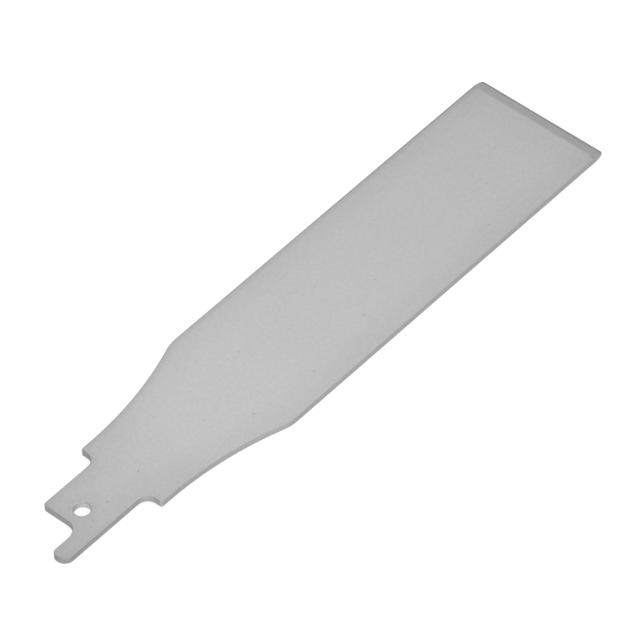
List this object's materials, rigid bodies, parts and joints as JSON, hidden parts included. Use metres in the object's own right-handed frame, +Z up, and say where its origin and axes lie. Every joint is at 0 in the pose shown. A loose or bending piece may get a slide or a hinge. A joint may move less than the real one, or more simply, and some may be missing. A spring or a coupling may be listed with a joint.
{
  "type": "reciprocating saw scraper blade",
  "caption": "Flat steel scraper blade with a holed shank and a narrow tail, a neck that flares to a parallel body, and a straight edge ground from both faces.",
  "frame": {"origin": "centre of the blade's outline, on the lower face that it lies on", "axes": "+X along the blade from the tail to the cutting edge, +Y across it on the side of the shank's notch, +Z up through the thickness"},
  "size_m": [0.1422, 0.0306, 0.0016],
  "materials": {
    "blasted_steel": "matt, evenly blasted light grey, with soft rims and a ground edge"
  },
  "bodies": {
    "root": {"scraper_blade": "blasted_steel"}
  },
  "joints": []
}
